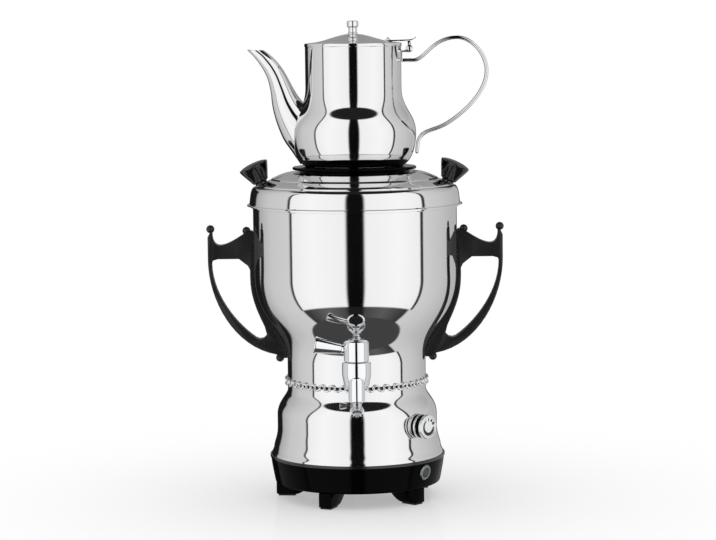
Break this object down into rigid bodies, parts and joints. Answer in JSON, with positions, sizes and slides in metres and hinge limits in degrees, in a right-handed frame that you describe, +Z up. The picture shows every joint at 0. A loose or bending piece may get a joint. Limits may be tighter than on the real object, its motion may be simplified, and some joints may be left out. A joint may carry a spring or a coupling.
{
  "type": "electric samovar with teapot",
  "caption": "Steel electric samovar with a waisted body, black side handles and base, front tap with a side lever, and a lidded teapot standing on its lid.",
  "frame": {"origin": "on the table, under the middle of the whole outline", "axes": "+Z up, -Y to the front where the tap is, -X to the side of the teapot's spout"},
  "size_m": [0.297, 0.2274, 0.476],
  "materials": {
    "polished_steel": "mirror-polished stainless steel",
    "chrome_plate": "bright chrome plate",
    "black_plastic": "glossy black heat-resistant plastic",
    "dark_plastic": "matt",
    "rubber": "matt black",
    "fastener_steel": "zinc-plated",
    "aluminium": "as cast",
    "element_steel": "annealed",
    "ceramic": "unglazed steatite",
    "wire_sleeve": "silicone sleeve",
    "lens": "smoked clear plastic",
    "brass": "turned"
  },
  "bodies": {
    "samovar": {"base_shell": "black_plastic", "feet": "black_plastic", "foot_pads": "rubber", "bottom_cover": "black_plastic", "cover_screws": "fastener_steel", "lower_housing": "polished_steel", "vessel_body": "polished_steel", "vessel_floor": "polished_steel", "waist_chain": "chrome_plate", "heater_plate": "aluminium", "heating_coil": "element_steel", "thermal_cutout": "dark_plastic", "thermostat_body": "ceramic", "thermostat_nut": "fastener_steel", "terminal_block": "ceramic", "wiring": "wire_sleeve", "cord_gland": "rubber", "lamp_bezel": "chrome_plate", "lamp_lens": "lens", "lamp_holder": "ceramic", "knob_escutcheon": "chrome_plate", "tap_body": "chrome_plate", "tap_seals": "rubber", "tap_nut": "brass", "handle_left": "black_plastic", "handle_right": "black_plastic", "handle_bolts": "fastener_steel", "handle_seals": "rubber"},
    "knob": {"thermostat_shaft": "fastener_steel", "knob_core": "black_plastic", "knob_ring": "chrome_plate", "knob_cap": "chrome_plate"},
    "tap_valve": {"tap_plug": "brass", "tap_head": "chrome_plate", "tap_lever": "chrome_plate"},
    "lid": {"lid_shell": "polished_steel", "lid_locating_ring": "polished_steel", "lid_knob_left": "black_plastic", "lid_knob_right": "black_plastic", "lid_knob_screws": "fastener_steel", "teapot_stand": "black_plastic"},
    "teapot": {"teapot_body": "polished_steel", "teapot_floor": "polished_steel", "teapot_spout": "polished_steel", "teapot_handle": "polished_steel", "hinge_bracket": "polished_steel", "hinge_pin": "chrome_plate"},
    "teapot_cover": {"teapot_lid": "polished_steel", "lid_hinge_leaf": "polished_steel", "teapot_lid_button": "polished_steel"}
  },
  "joints": [
    {"name": "knob_turn", "type": "hinge", "parent": "samovar", "child": "knob", "pos_m": [0.05898, -0.0477, 0.079], "axis": [-0.7373, 0.6756, 0], "range_deg": [0, 270]},
    {"name": "tap_turn", "type": "hinge", "parent": "samovar", "child": "tap_valve", "pos_m": [0, -0.09765, 0.135], "axis": [0, 0, 1], "range_deg": [0, 90]},
    {"name": "lid_lift", "type": "slide", "parent": "samovar", "child": "lid", "axis": [0, 0, 1], "range_m": [0, 0.06]},
    {"name": "teapot_lift", "type": "slide", "parent": "lid", "child": "teapot", "axis": [0, 0, 1], "range_m": [0, 0.06]},
    {"name": "teapot_lid_hinge", "type": "hinge", "parent": "teapot", "child": "teapot_cover", "pos_m": [0.056, 0.00635, 0.448], "axis": [0, 1, 0], "range_deg": [0, 60]}
  ]
}
